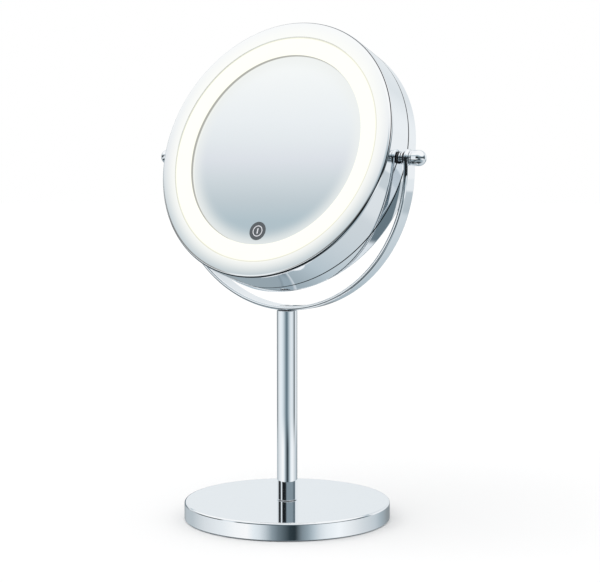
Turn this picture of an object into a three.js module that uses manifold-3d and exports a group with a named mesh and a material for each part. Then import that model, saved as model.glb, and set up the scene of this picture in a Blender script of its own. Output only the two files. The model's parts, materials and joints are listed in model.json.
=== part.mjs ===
// Lighted two-sided vanity mirror on a round weighted base.
// Millimetres, +Z up. Origin: centre of the base's underside. The lit side faces -Y.
import * as THREE from 'three';
import { mergeVertices } from 'three/addons/utils/BufferGeometryUtils.js';
import Module from 'manifold-3d';

const wasm = await Module();
wasm.setup();

// ---------- driving dimensions ----------
const GAP = 0.3; // air kept between neighbouring pieces
const BASE_R = 68.6;
const BASE_H = 12;
const BASE_WALL = 1.2;
const PAD_T = 1.2;
const POST_R = 6.8;
const POST_WALL = 1;
const PIVOT_Z = 240; // height of the tilt axis
const HEAD_TILT = THREE.MathUtils.degToRad(20.4); // face tipped up at rest
const HEAD_R = 88; // drum of the lamp head
const HEAD_WALL = 2;
const HEAD_FRONT = -18.5; // depths are along the head's own axis, front is negative
const HEAD_SEAM = 4;
const HEAD_REAR = 15.5;
const LIT_OUTER_R = 77.3; // the opal ring shows from here in to the mirror
const GLASS_R = 65.1;
const GLASS_FRONT = -15;
const GLASS_T = 2;
const MAGNIFIER_R = 71;
const MAGNIFIER_RIM = 13; // depth of the concave surface at its rim
const MAGNIFIER_CURVE = 420; // radius of the concave surface
const YOKE_R = 94;
const YOKE_T = 2.8;
const YOKE_W = 11.4;
const YOKE_DROP = 6.5; // the half ring is centred this far below the tilt axis
const PIN_R = 2;
const SCREW_HEAD_R = 3.6; // countersunk screw that holds the yoke to the post
const KNOB_R = 5;
const KNOB_TIP = 104.2;
const LED_COUNT = 12;
const LED_CIRCLE_R = 72.4;
const TOUCH_DROP = 55.6; // touch key, below the mirror's centre
const BATTERY_R = 5.25;
const BATTERY_L = 44.5;
const BATTERY_PITCH = 11.6;
const BATTERY_COUNT = 3;
const SCREW_COUNT = 3;
const SCREW_CIRCLE_R = 83;
const TAB_COUNT = 4;

const BIG = 48; // sides of the large turned pieces
const MEDIUM = 24;
const SMALL = 16;

// ---------- materials ----------
const finish = (color, roughness, metalness) =>
  new THREE.MeshStandardMaterial({ color, roughness, metalness });
const chrome = finish(0xdfe3e6, 0.06, 1);
const silvered = finish(0xe6eef0, 0.02, 1);
const opal = finish(0xfffdf2, 0.35, 0);
const whiteAbs = finish(0xf2f2ef, 0.5, 0);
const steel = finish(0xb9bcc0, 0.3, 1);
const iron = finish(0x3a3b3d, 0.8, 0.6);
const foam = finish(0x2a2a2c, 0.95, 0);
const nylon = finish(0x1f2022, 0.55, 0);
const board = finish(0xf4f4f0, 0.45, 0);
const greenBoard = finish(0x1f6b3a, 0.45, 0);
const phosphor = finish(0xf7e27a, 0.4, 0);
const chip = finish(0x17181a, 0.5, 0);
const nickel = finish(0xc9c7bd, 0.25, 1);
const jacket = finish(0x30343a, 0.35, 0.3);
const redWire = finish(0xb3261e, 0.5, 0);

// ---------- shape helpers ----------
// A turned solid about Y. The profile runs counter-clockwise in (radius, along).
function turned(profile, sides) {
  const points = profile.map(([radius, along]) => new THREE.Vector2(radius, along));
  if (profile[0][0] > 0) points.push(points[0].clone());
  return new THREE.LatheGeometry(points, sides);
}

function tube(outer, inner, from, to, sides) {
  return turned([[inner, from], [outer, from], [outer, to], [inner, to]], sides);
}

function rod(radius, from, to, sides) {
  return turned([[0, from], [radius, from], [radius, to], [0, to]], sides);
}

// A block between two corners.
function block([x0, y0, z0], [x1, y1, z1]) {
  const box = new THREE.BoxGeometry(x1 - x0, y1 - y0, z1 - z0);
  return box.translate((x0 + x1) / 2, (y0 + y1) / 2, (z0 + z1) / 2);
}

function toSolid(geometry) {
  const bare = geometry.clone();
  bare.deleteAttribute('normal');
  bare.deleteAttribute('uv');
  const merged = mergeVertices(bare, 1e-4);
  const corners = merged.index.array;
  const kept = [];
  for (let i = 0; i < corners.length; i += 3) {
    const [a, b, c] = corners.slice(i, i + 3);
    if (a !== b && b !== c && c !== a) kept.push(a, b, c);
  }
  return new wasm.Manifold(new wasm.Mesh({
    numProp: 3,
    vertProperties: new Float32Array(merged.attributes.position.array),
    triVerts: new Uint32Array(kept),
  }));
}

function toGeometry(solid) {
  const { vertProperties, triVerts, numProp } = solid.getMesh();
  const positions = new Float32Array((vertProperties.length / numProp) * 3);
  for (let i = 0; i < positions.length / 3; i++) {
    for (let k = 0; k < 3; k++) positions[3 * i + k] = vertProperties[i * numProp + k];
  }
  const geometry = new THREE.BufferGeometry();
  geometry.setAttribute('position', new THREE.BufferAttribute(positions, 3));
  geometry.setIndex(new THREE.BufferAttribute(new Uint32Array(triVerts), 1));
  geometry.computeVertexNormals();
  return geometry;
}

// Joins the extra shapes to the body, then cuts the holes out of the result.
function shaped(body, { extras = [], holes = [] }) {
  let solid = toSolid(body);
  for (const extra of extras) solid = solid.add(toSolid(extra));
  for (const hole of holes) solid = solid.subtract(toSolid(hole));
  return toGeometry(solid);
}

function piece(parent, name, geometry, material) {
  const mesh = new THREE.Mesh(geometry, material);
  mesh.name = name;
  parent.add(mesh);
  return mesh;
}

// A round wire along a smooth curve through the given points.
function wire(points, radius) {
  const section = new THREE.Shape();
  section.absarc(0, 0, radius, 0, 2 * Math.PI);
  const path = new THREE.CatmullRomCurve3(points.map((point) => new THREE.Vector3(...point)));
  return new THREE.ExtrudeGeometry(section, { extrudePath: path, steps: 14, curveSegments: 3 });
}

const onCircle = (radius, angle) => [radius * Math.cos(angle), radius * Math.sin(angle)];

// ---------- stand ----------
function addBase(stand) {
  const upright = new THREE.Group();
  upright.rotation.x = Math.PI / 2; // turned pieces now stand along Z
  stand.add(upright);

  const inner = BASE_R - BASE_WALL;
  const filling = inner - 0.4;
  const under = BASE_H - BASE_WALL;
  const boltHole = 3.4;
  const skirt = 0.6; // the shell's lower edge clears the floor
  piece(upright, 'base_pad', rod(filling, 0, PAD_T, BIG), foam);

  const weightFloor = PAD_T + GAP;
  const counterbore = 6.5;
  piece(upright, 'base_weight', turned([
    [9, weightFloor],
    [filling, weightFloor],
    [filling, under - GAP],
    [boltHole, under - GAP],
    [boltHole, counterbore],
    [9, counterbore],
  ], BIG), iron);

  piece(upright, 'base_shell', turned([
    [inner, skirt],
    [BASE_R - 0.5, skirt],
    [BASE_R, skirt + 0.5],
    [BASE_R, BASE_H - 1.4],
    [BASE_R - 0.4, BASE_H - 0.4],
    [BASE_R - 1.4, BASE_H],
    [boltHole, BASE_H],
    [boltHole, under],
    [inner, under],
  ], BIG), chrome);

  const washerTop = counterbore - GAP;
  const washerFloor = washerTop - 1.2;
  piece(upright, 'base_washer', tube(7.5, boltHole, washerFloor, washerTop, MEDIUM), steel);
  piece(upright, 'base_bolt', turned([
    [0, weightFloor + 0.1],
    [5, weightFloor + 0.1],
    [5, washerFloor - GAP],
    [3, washerFloor - GAP],
    [3, 27],
    [0, 27],
  ], SMALL), steel);
}

function addPost(stand) {
  const upright = new THREE.Group();
  upright.rotation.x = Math.PI / 2;
  stand.add(upright);

  const foot = BASE_H + GAP;
  const top = PIVOT_Z - YOKE_DROP - YOKE_R - GAP;
  const bore = POST_R - POST_WALL;
  const plug = bore - 0.35;
  piece(upright, 'post_tube', tube(POST_R, bore, foot, top, MEDIUM), chrome);
  piece(upright, 'post_lower_insert', tube(plug, 3.4, foot, foot + 18, MEDIUM), steel);
  piece(upright, 'post_upper_insert', tube(plug, PIN_R + 0.4, top - 18, top, MEDIUM), steel);

  // The countersunk head lies flush with the inside face of the yoke.
  const flush = PIVOT_Z - YOKE_DROP - YOKE_R + YOKE_T - 0.1;
  piece(upright, 'yoke_screw', turned([
    [0, flush - 18],
    [PIN_R, flush - 18],
    [PIN_R, flush - 1.7],
    [SCREW_HEAD_R, flush - 0.1],
    [SCREW_HEAD_R - 0.1, flush],
    [1.3, flush],
    [1.3, flush - 1.1],
    [0, flush - 1.1],
  ], SMALL), steel);
}

// A flat band bent into a half ring with short straight arms and rounded ends.
function yokeGeometry() {
  const inner = YOKE_R - YOKE_T;
  const top = YOKE_W / 2;
  const outline = new THREE.Shape();
  outline.moveTo(-YOKE_R, top);
  outline.lineTo(-YOKE_R, -YOKE_DROP);
  outline.absarc(0, -YOKE_DROP, YOKE_R, Math.PI, 2 * Math.PI, false);
  outline.lineTo(YOKE_R, top);
  outline.lineTo(inner, top);
  outline.lineTo(inner, -YOKE_DROP);
  outline.absarc(0, -YOKE_DROP, inner, 2 * Math.PI, Math.PI, true);
  outline.lineTo(-inner, top);
  outline.closePath();
  const band = new THREE.ExtrudeGeometry(outline, {
    depth: YOKE_W, bevelEnabled: false, curveSegments: 32,
  });
  band.translate(0, 0, -YOKE_W / 2);
  band.rotateX(Math.PI / 2);

  const side = new THREE.Shape(); // the band seen along X: straight sides, round top
  side.moveTo(-YOKE_W / 2 - 1, -YOKE_R - YOKE_DROP - 5);
  side.lineTo(YOKE_W / 2 + 1, -YOKE_R - YOKE_DROP - 5);
  side.lineTo(YOKE_W / 2 + 1, -YOKE_DROP);
  side.lineTo(YOKE_W / 2, 0);
  side.absarc(0, 0, YOKE_W / 2, 0, Math.PI, false);
  side.lineTo(-YOKE_W / 2 - 1, -YOKE_DROP);
  side.closePath();
  const length = 2 * YOKE_R + 4;
  const keep = new THREE.ExtrudeGeometry(side, {
    depth: length, bevelEnabled: false, curveSegments: 12,
  });
  keep.translate(0, 0, -length / 2);
  keep.applyMatrix4(new THREE.Matrix4().makeBasis(
    new THREE.Vector3(0, 1, 0),
    new THREE.Vector3(0, 0, 1),
    new THREE.Vector3(1, 0, 0),
  ));

  const pivotBore = rod(PIN_R + 1.4, -length / 2, length / 2, SMALL).rotateZ(-Math.PI / 2);
  const screwHole = turned([
    [0, -YOKE_R - 1],
    [SCREW_HEAD_R - 1.15, -YOKE_R - 1],
    [SCREW_HEAD_R - 1.15, -YOKE_R + 1],
    [SCREW_HEAD_R + 0.65, -YOKE_R + YOKE_T],
    [SCREW_HEAD_R + 0.65, -YOKE_R + YOKE_T + 1],
    [0, -YOKE_R + YOKE_T + 1],
  ], SMALL).rotateX(Math.PI / 2).translate(0, 0, -YOKE_DROP);
  const solid = toSolid(band).intersect(toSolid(keep));
  return toGeometry(solid.subtract(toSolid(pivotBore)).subtract(toSolid(screwHole)));
}

function addYoke(stand) {
  const yoke = new THREE.Group();
  yoke.position.z = PIVOT_Z;
  stand.add(yoke);
  piece(yoke, 'yoke', yokeGeometry(), chrome);
  for (const [side, turn] of [['right', -1], ['left', 1]]) {
    const bush = tube(PIN_R + 1.1, PIN_R + GAP, YOKE_R - YOKE_T, YOKE_R, SMALL);
    piece(yoke, `yoke_bush_${side}`, bush, nylon).rotation.z = turn * Math.PI / 2;
  }
}

// ---------- lamp head ----------
const SCREW_ANGLES = Array.from({ length: SCREW_COUNT }, (_, i) =>
  Math.PI / 2 + (i * 2 * Math.PI) / SCREW_COUNT);
const FLANGE_FRONT = -7.1; // the chassis flange closes the lamp channel from behind
const FLANGE_BACK = -5.6;
const PLATE_FRONT = -11.6; // the chassis plate carries the mirror
const PLATE_BACK = -10.2;
const LEAD_ANGLE = (5 * Math.PI) / 4; // where the lamp's lead goes through the flange
const LEAD_HOLE_R = 1.5;

// A rod along the head's axis at (x, z).
const rodAt = ([x, z], radius, from, to, sides) => rod(radius, from, to, sides).translate(x, 0, z);

function addHousing(head) {
  const inner = HEAD_R - HEAD_WALL;
  const back = HEAD_SEAM - GAP / 2;
  const faceBack = HEAD_FRONT + HEAD_WALL;
  const shell = turned([
    [LIT_OUTER_R, HEAD_FRONT],
    [HEAD_R - 1.9, HEAD_FRONT],
    [HEAD_R - 0.95, HEAD_FRONT + 0.25],
    [HEAD_R - 0.25, HEAD_FRONT + 0.95],
    [HEAD_R, HEAD_FRONT + 1.9],
    [HEAD_R, back],
    [inner, back],
    [inner, faceBack],
    [LIT_OUTER_R, faceBack],
  ], BIG);
  const places = SCREW_ANGLES.map((angle) => onCircle(SCREW_CIRCLE_R, angle));
  const bossEnd = FLANGE_FRONT - GAP;
  const bosses = places.map((at) => rodAt(at, 2.9, faceBack - 0.5, bossEnd, 12));
  const sockets = places.map((at) => rodAt(at, 1.5, bossEnd - 7, bossEnd + 1, 12));
  const pivotHole = rod(PIN_R + 0.5, -HEAD_R - 2, HEAD_R + 2, SMALL).rotateZ(-Math.PI / 2);
  const geometry = shaped(shell, { extras: bosses, holes: [...sockets, pivotHole] });
  piece(head, 'front_housing', geometry, chrome);
}

function addLamp(head) {
  const lip = HEAD_FRONT + HEAD_WALL;
  const diffuserFront = HEAD_FRONT + GAP;
  const diffuserIn = GLASS_R + GAP;
  const glassBack = GLASS_FRONT + GLASS_T;
  piece(head, 'light_diffuser', turned([
    [diffuserIn, diffuserFront],
    [LIT_OUTER_R - GAP, diffuserFront],
    [LIT_OUTER_R - GAP, lip + GAP],
    [79.6, lip + GAP],
    [79.6, lip + 1.7],
    [66.9, lip + 1.7],
    [66.9, glassBack + 0.1],
    [diffuserIn, glassBack + 0.1],
  ], BIG), opal);

  const channelBack = FLANGE_FRONT - GAP;
  const leadAt = onCircle(LED_CIRCLE_R, LEAD_ANGLE);
  const leadHole = rodAt(leadAt, LEAD_HOLE_R, channelBack - 2.2, channelBack + 1, 12);
  piece(head, 'reflector_ring', shaped(turned([
    [65, glassBack + 0.4],
    [66.4, glassBack + 0.4],
    [66.4, channelBack - 1.2],
    [78.3, channelBack - 1.2],
    [78.3, lip + 2],
    [79.5, lip + 2],
    [79.5, channelBack],
    [65, channelBack],
  ], BIG), { holes: [leadHole] }), whiteAbs);

  const boardBack = channelBack - 1.2 - GAP;
  piece(head, 'led_board', tube(77.6, 67.2, boardBack - 1, boardBack, BIG), board);

  const ledBack = boardBack - 1 - GAP;
  for (let i = 0; i < LED_COUNT; i++) {
    const angle = ((i + 0.5) * 2 * Math.PI) / LED_COUNT;
    const [x, z] = onCircle(LED_CIRCLE_R, angle);
    const name = `led_${String(i + 1).padStart(2, '0')}`;
    const led = piece(head, name, block([-1.75, -0.8, -1.4], [1.75, 0, 1.4]), phosphor);
    led.position.set(x, ledBack, z);
    led.rotation.y = Math.PI / 2 - angle;
  }
}

function addMirror(head) {
  const glassBack = GLASS_FRONT + GLASS_T;
  const keyAt = [0, -TOUCH_DROP];
  piece(head, 'front_mirror', rod(GLASS_R, GLASS_FRONT, glassBack, BIG), silvered);

  const padFront = glassBack + GAP;
  const padHole = rodAt(keyAt, 6.2, padFront - 1, padFront + 2, MEDIUM);
  const pad = rod(GLASS_R - 1.1, padFront, padFront + 0.8, BIG);
  piece(head, 'mirror_pad', shaped(pad, { holes: [padHole] }), foam);

  const keyHole = rodAt(keyAt, 6.2, PLATE_FRONT - 1, PLATE_BACK + 1, MEDIUM);
  const leadAt = onCircle(LED_CIRCLE_R, LEAD_ANGLE);
  const leadHole = rodAt(leadAt, LEAD_HOLE_R, FLANGE_FRONT - 1, FLANGE_BACK + 1, 12);
  const screwHoles = SCREW_ANGLES.map((angle) =>
    rodAt(onCircle(SCREW_CIRCLE_R, angle), 1.5, FLANGE_FRONT - 1, FLANGE_BACK + 1, 12));
  piece(head, 'chassis', shaped(turned([
    [0, PLATE_FRONT],
    [64.6, PLATE_FRONT],
    [64.6, FLANGE_FRONT],
    [85.3, FLANGE_FRONT],
    [85.3, FLANGE_BACK],
    [63.2, FLANGE_BACK],
    [63.2, PLATE_BACK],
    [0, PLATE_BACK],
  ], BIG), { holes: [keyHole, leadHole, ...screwHoles] }), whiteAbs);

  const screw = turned([
    [0, -13.5],
    [1.1, -13.5],
    [1.1, FLANGE_BACK + GAP],
    [2.4, FLANGE_BACK + GAP],
    [2.4, FLANGE_BACK + GAP + 1],
    [1.5, FLANGE_BACK + GAP + 1.5],
    [0, FLANGE_BACK + GAP + 1.6],
  ], 12);
  SCREW_ANGLES.forEach((angle, i) => {
    const [x, z] = onCircle(SCREW_CIRCLE_R, angle);
    piece(head, `chassis_screw_${i + 1}`, screw.clone(), steel).position.set(x, 0, z);
  });

  const boardFront = PLATE_BACK + GAP;
  const electrode = rodAt(keyAt, 5.5, glassBack + GAP, boardFront - GAP, MEDIUM);
  piece(head, 'touch_electrode', electrode, nickel);
}

const TRAY_X = 26.8; // half length of the battery tray
const TRAY_Z = 19;
const CONNECTOR = { x0: -13, x1: -5, z0: -46, z1: -41 };

function addElectronics(head) {
  const boardFront = PLATE_BACK + GAP;
  const boardBack = boardFront + 1.2;
  const partFront = boardBack + GAP;
  const pcb = block([-19, boardFront, -59], [19, boardBack, -37]);
  piece(head, 'control_board', pcb, greenBoard);
  const ic = block([6, partFront, -50], [13, partFront + 1.4, -44]);
  piece(head, 'touch_chip', ic, chip);
  const { x0, x1, z0, z1 } = CONNECTOR;
  const socket = block([x0, partFront, z0], [x1, partFront + 3.8, z1]);
  piece(head, 'lead_connector', socket, whiteAbs);

  const supply = wire([
    [-11, -4, -TRAY_Z - 0.6],
    [-11, -4.4, -26],
    [-9, -6, -33],
    [-9, -6.5, z1 + 0.5],
  ], 0.8);
  piece(head, 'battery_lead', supply, redWire);
  const [leadX, leadZ] = onCircle(LED_CIRCLE_R, LEAD_ANGLE);
  const lampLead = wire([
    [x0 - 0.5, -6.3, -43.5],
    [-24, -4, -43],
    [-40, -2.6, -45],
    [leadX + 2.4, -2.6, leadZ + 1.2],
    [leadX, -5, leadZ],
    [leadX, -8.5, leadZ],
  ], 0.8);
  piece(head, 'lamp_lead', lampLead, redWire);
}

function addBatteries(head) {
  const floorFront = PLATE_BACK + GAP;
  const floorBack = floorFront + 1.4;
  const wall = 1.4;
  const box = block([-TRAY_X, floorFront, -TRAY_Z], [TRAY_X, 0.5, TRAY_Z]);
  const pocket = block(
    [wall - TRAY_X, floorBack, wall - TRAY_Z],
    [TRAY_X - wall, 5, TRAY_Z - wall],
  );
  piece(head, 'battery_tray', shaped(box, { holes: [pocket] }), whiteAbs);

  const axisDepth = floorBack + GAP + BATTERY_R;
  const row = Array.from({ length: BATTERY_COUNT }, (_, i) =>
    (i - (BATTERY_COUNT - 1) / 2) * BATTERY_PITCH);
  const end = BATTERY_L / 2;
  const cell = turned([
    [0, -end],
    [BATTERY_R - 0.4, -end],
    [BATTERY_R, -end + 0.4],
    [BATTERY_R, end - 1],
    [1.9, end - 1],
    [1.9, end],
    [0, end],
  ], SMALL);
  row.forEach((z, i) => {
    const battery = piece(head, `battery_${i + 1}`, cell.clone(), jacket);
    battery.position.set(0, axisDepth, z);
    battery.rotation.z = (i % 2 ? 1 : -1) * Math.PI / 2;
  });

  const plateIn = TRAY_X - wall - GAP - 0.5;
  const plate = block([-16.5, floorBack + GAP, plateIn], [16.5, 0, plateIn + 0.5]);
  const cone = (z) => turned([
    [0, end + GAP],
    [2.2, end + GAP],
    [3.8, plateIn + 0.2],
    [0, plateIn + 0.2],
  ], 12).rotateX(Math.PI / 2).translate(z, axisDepth, 0);
  const strip = shaped(plate, { extras: row.map(cone) });
  for (const [name, turn] of [['contact_right', 1], ['contact_left', -1]]) {
    piece(head, name, strip.clone(), nickel).rotation.y = turn * Math.PI / 2;
  }
}

// One side of the tilt axis, from the nut inside the drum out to the knob.
function addPivot(head, side, turn) {
  const axle = new THREE.Group();
  axle.rotation.z = turn * Math.PI / 2;
  head.add(axle);
  const hole = PIN_R + GAP;
  const yokeIn = YOKE_R - YOKE_T;
  const collarIn = YOKE_R + GAP;
  const knobIn = collarIn + 1.5 + GAP;
  const pinEnd = KNOB_TIP - 3.3;
  piece(axle, `pivot_nut_${side}`, tube(4, hole, 81.5, 84.9, 6), steel);
  piece(axle, `pivot_pin_${side}`, rod(PIN_R, 80.6, pinEnd, SMALL), steel);
  piece(axle, `pivot_spacer_${side}`, tube(4.2, hole, HEAD_R + GAP, yokeIn - GAP, SMALL), nylon);
  piece(axle, `pivot_collar_${side}`, tube(4.7, hole, collarIn, collarIn + 1.5, SMALL), chrome);
  piece(axle, `pivot_knob_${side}`, turned([
    [hole, knobIn],
    [KNOB_R - 0.5, knobIn],
    [KNOB_R, knobIn + 0.5],
    [KNOB_R, KNOB_TIP - 2.6],
    [KNOB_R - 0.8, KNOB_TIP - 1.2],
    [KNOB_R - 2.4, KNOB_TIP - 0.3],
    [0, KNOB_TIP],
    [0, pinEnd + GAP],
    [hole, pinEnd + GAP],
  ], MEDIUM), chrome);
}

// ---------- rear cover with the magnifying mirror ----------
// Depth of the concave surface at a radius.
function bowlDepth(radius) {
  const sag = (r) => MAGNIFIER_CURVE - Math.sqrt(MAGNIFIER_CURVE ** 2 - r ** 2);
  return MAGNIFIER_RIM - sag(MAGNIFIER_R) + sag(radius);
}

// A shallow dish between two depths below the concave surface, out to a rim radius.
function dishProfile(rim, front, back) {
  const radii = [0, 24, 48, rim];
  const frontFace = radii.map((r) => [r, bowlDepth(r) - front]);
  const backFace = radii.map((r) => [r, bowlDepth(r) - back]).reverse();
  return [...frontFace, ...backFace];
}

function addRearCover(head) {
  const lipFront = MAGNIFIER_RIM + GAP;
  const wallIn = HEAD_R - 1.8;
  const seam = HEAD_SEAM + GAP / 2;
  piece(head, 'rear_ring', turned([
    [wallIn, seam],
    [HEAD_R, seam],
    [HEAD_R, HEAD_REAR - 2.2],
    [HEAD_R - 0.7, HEAD_REAR - 0.7],
    [HEAD_R - 2.2, HEAD_REAR],
    [MAGNIFIER_R - 0.8, HEAD_REAR - 0.6],
    [MAGNIFIER_R - 0.8, lipFront],
    [wallIn, lipFront],
  ], BIG), chrome);

  const glass = turned(dishProfile(MAGNIFIER_R, GLASS_T, 0), BIG);
  piece(head, 'magnifying_mirror', glass, silvered);

  const seat = GLASS_T + GAP;
  const rim = MAGNIFIER_R + GAP;
  const [dishFront, dishBack] = [dishProfile(rim + 1.2, seat + 1.2, 0), dishProfile(rim, 0, seat)];
  const flangeBack = lipFront - GAP;
  const dish = turned([
    ...dishFront.slice(0, 4),
    [rim + 1.2, flangeBack - 1.2],
    [85.6, flangeBack - 1.2],
    [85.6, flangeBack],
    [rim, flangeBack],
    ...dishBack.slice(4),
  ], BIG);
  const tabs = Array.from({ length: TAB_COUNT }, (_, i) => {
    const tab = block([83.6, -1.5, -4], [85.2, flangeBack - 0.6, 4]);
    return tab.rotateY(Math.PI / 4 + (i * 2 * Math.PI) / TAB_COUNT);
  });
  piece(head, 'rear_carrier', shaped(dish, { extras: tabs }), whiteAbs);
}

// ---------- assembly ----------
const mirror = new THREE.Group();
const stand = new THREE.Group();
mirror.add(stand);
addBase(stand);
addPost(stand);
addYoke(stand);

const head = new THREE.Group();
head.position.z = PIVOT_Z;
head.rotation.x = -HEAD_TILT;
mirror.add(head);
addHousing(head);
addLamp(head);
addMirror(head);
addElectronics(head);
addBatteries(head);
addPivot(head, 'right', -1);
addPivot(head, 'left', 1);
addRearCover(head);

export default mirror;
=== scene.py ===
# Lighted two-sided vanity mirror: the looks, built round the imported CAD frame. Metres, +Z up.
# Profiles are written in millimetres, as (radius, along) about a piece's own axis.
import json
import math

import bmesh
import bpy
from mathutils import Matrix, Vector


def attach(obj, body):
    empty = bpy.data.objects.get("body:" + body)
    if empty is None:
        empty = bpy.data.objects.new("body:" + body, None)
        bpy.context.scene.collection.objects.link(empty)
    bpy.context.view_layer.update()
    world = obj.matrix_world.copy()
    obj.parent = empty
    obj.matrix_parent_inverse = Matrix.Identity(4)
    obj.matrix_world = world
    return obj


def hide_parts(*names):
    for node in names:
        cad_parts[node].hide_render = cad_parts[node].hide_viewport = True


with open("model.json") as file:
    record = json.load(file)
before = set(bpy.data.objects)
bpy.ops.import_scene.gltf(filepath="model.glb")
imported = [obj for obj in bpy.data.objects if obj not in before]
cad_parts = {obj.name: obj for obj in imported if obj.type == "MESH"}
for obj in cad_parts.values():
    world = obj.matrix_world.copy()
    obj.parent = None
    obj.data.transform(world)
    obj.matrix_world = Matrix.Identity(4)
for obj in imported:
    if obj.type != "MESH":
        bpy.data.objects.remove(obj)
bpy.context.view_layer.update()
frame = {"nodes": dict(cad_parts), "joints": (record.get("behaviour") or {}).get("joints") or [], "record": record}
NODES = frame["nodes"]

MM = 0.001
TURN = 2 * math.pi

# ---------- places, read from the frame ----------
TILT = next(j for j in frame["joints"] if j["name"] == "head_tilt")
COVER = next(j for j in frame["joints"] if j["name"] == "rear_cover_pull")
PIVOT = Vector(TILT["pos_m"])
REARWARD = Vector(COVER["axis"])  # the head's own axis, towards its back
HEAD_ANGLE = math.atan2(-REARWARD.z, REARWARD.y)
HEAD_FRAME = Matrix.Translation(PIVOT) @ Matrix.Rotation(-HEAD_ANGLE, 4, "X")
UPRIGHT = Matrix.Rotation(math.pi / 2, 4, "X")  # a piece's local Y stands along Z


def sideways(sign):
    """A frame whose Y runs out along the tilt axis, to +X or -X."""
    return HEAD_FRAME @ Matrix.Rotation(-sign * math.pi / 2, 4, "Z")


def own_box(node, place):
    """A CAD node's lowest and highest corner in a piece's own frame, in millimetres."""
    back = place.inverted()
    points = [back @ v.co / MM for v in NODES[node].data.vertices]
    low = Vector([min(p[k] for p in points) for k in range(3)])
    high = Vector([max(p[k] for p in points) for k in range(3)])
    return low, high


# ---------- mesh helpers ----------
LARGE = 256  # sides of a large turned piece
FINE = 72  # sides of a small one


def arc(centre, radius, start, end, steps=6):
    """Points of an arc in a profile, angles in degrees."""
    points = []
    for i in range(steps + 1):
        a = math.radians(start + (end - start) * i / steps)
        points.append((centre[0] + radius * math.cos(a), centre[1] + radius * math.sin(a)))
    return points


def add_object(name, mesh, place):
    """The mesh's points move into the row frame, as the CAD nodes' are."""
    mesh.transform(place)
    obj = bpy.data.objects.new(name, mesh)
    bpy.context.scene.collection.objects.link(obj)
    return obj


def apply_modifiers(obj):
    with bpy.context.temp_override(object=obj, active_object=obj):
        for modifier in list(obj.modifiers):
            bpy.ops.object.modifier_apply(modifier=modifier.name)


def smooth(obj, sharp_degrees=30):
    """Smooth shading in which flat faces stay flat beside their rounded edges."""
    obj.data.shade_smooth()
    obj.data.set_sharp_from_angle(angle=math.radians(sharp_degrees))
    modifier = obj.modifiers.new("normals", "WEIGHTED_NORMAL")
    modifier.keep_sharp = True
    apply_modifiers(obj)


def turned(name, profile, place, steps=LARGE, sharp=30):
    """A solid of revolution about the piece's Y. The profile runs counter-clockwise; it closes on
    itself, or has both ends on the axis."""
    verts = []
    rings = []
    for radius, along in profile:
        if radius < 1e-6:
            rings.append([len(verts)] * steps)
            verts.append((0, along * MM, 0))
            continue
        rings.append(list(range(len(verts), len(verts) + steps)))
        for i in range(steps):
            a = TURN * i / steps
            verts.append((radius * MM * math.sin(a), along * MM, radius * MM * math.cos(a)))
    following = rings[1:] + rings[:1] if profile[0][0] > 1e-6 else rings[1:]
    faces = []
    for low, high in zip(rings, following):
        for i in range(steps):
            k = (i + 1) % steps
            corners = [low[i], low[k], high[k], high[i]]
            face = [c for n, c in enumerate(corners) if c != corners[n - 1]]
            if len(face) > 2:
                faces.append(face)
    mesh = bpy.data.meshes.new(name)
    mesh.from_pydata(verts, [], faces)
    mesh.update()
    obj = add_object(name, mesh, place)
    smooth(obj, sharp)
    return obj


def cut(obj, *tools):
    """Cuts the tools' shapes out of obj and removes the tools."""
    for tool in tools:
        modifier = obj.modifiers.new("cut", "BOOLEAN")
        modifier.object = tool
        modifier.solver = "EXACT"
        apply_modifiers(obj)
        bpy.data.objects.remove(tool)


def finish_piece(obj, body, slot, material, *nodes):
    obj.data.materials.clear()
    obj.data.materials.append(material)
    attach(obj, body)
    if nodes:
        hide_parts(*nodes)
    return obj


# ---------- material helpers ----------
def new_material(name):
    material = bpy.data.materials.new(name)
    material.use_nodes = True
    tree = material.node_tree
    shader = next(n for n in tree.nodes if n.type == "BSDF_PRINCIPLED")
    return material, tree, shader


def add_node(tree, kind, **settings):
    made = tree.nodes.new(kind)
    for name, value in settings.items():
        setattr(made, name, value)
    return made


def maths(tree, operation, a, b=None):
    made = add_node(tree, "ShaderNodeMath", operation=operation)
    for socket, value in zip(made.inputs, (a, b)):
        if value is None:
            continue
        if isinstance(value, (int, float)):
            socket.default_value = value
        else:
            tree.links.new(value, socket)
    return made.outputs[0]


def span(tree, value, low, high, out_low=0.0, out_high=1.0, kind="SMOOTHSTEP"):
    made = add_node(tree, "ShaderNodeMapRange", interpolation_type=kind)
    tree.links.new(value, made.inputs["Value"])
    made.inputs["From Min"].default_value = low
    made.inputs["From Max"].default_value = high
    made.inputs["To Min"].default_value = out_low
    made.inputs["To Max"].default_value = out_high
    return made.outputs["Result"]


MIX_SOCKETS = (0, 6, 7)  # a colour mix's factor, A and B among the Mix node's inputs
MIX_RESULT = 2


def mix_color(tree, factor, a, b, blend="MIX"):
    made = add_node(tree, "ShaderNodeMix", data_type="RGBA", blend_type=blend)
    for socket, value in zip([made.inputs[k] for k in MIX_SOCKETS], (factor, a, b)):
        if isinstance(value, (int, float)):
            socket.default_value = value
        elif isinstance(value, tuple):
            socket.default_value = (*value, 1)
        else:
            tree.links.new(value, socket)
    return made.outputs[MIX_RESULT]


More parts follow.
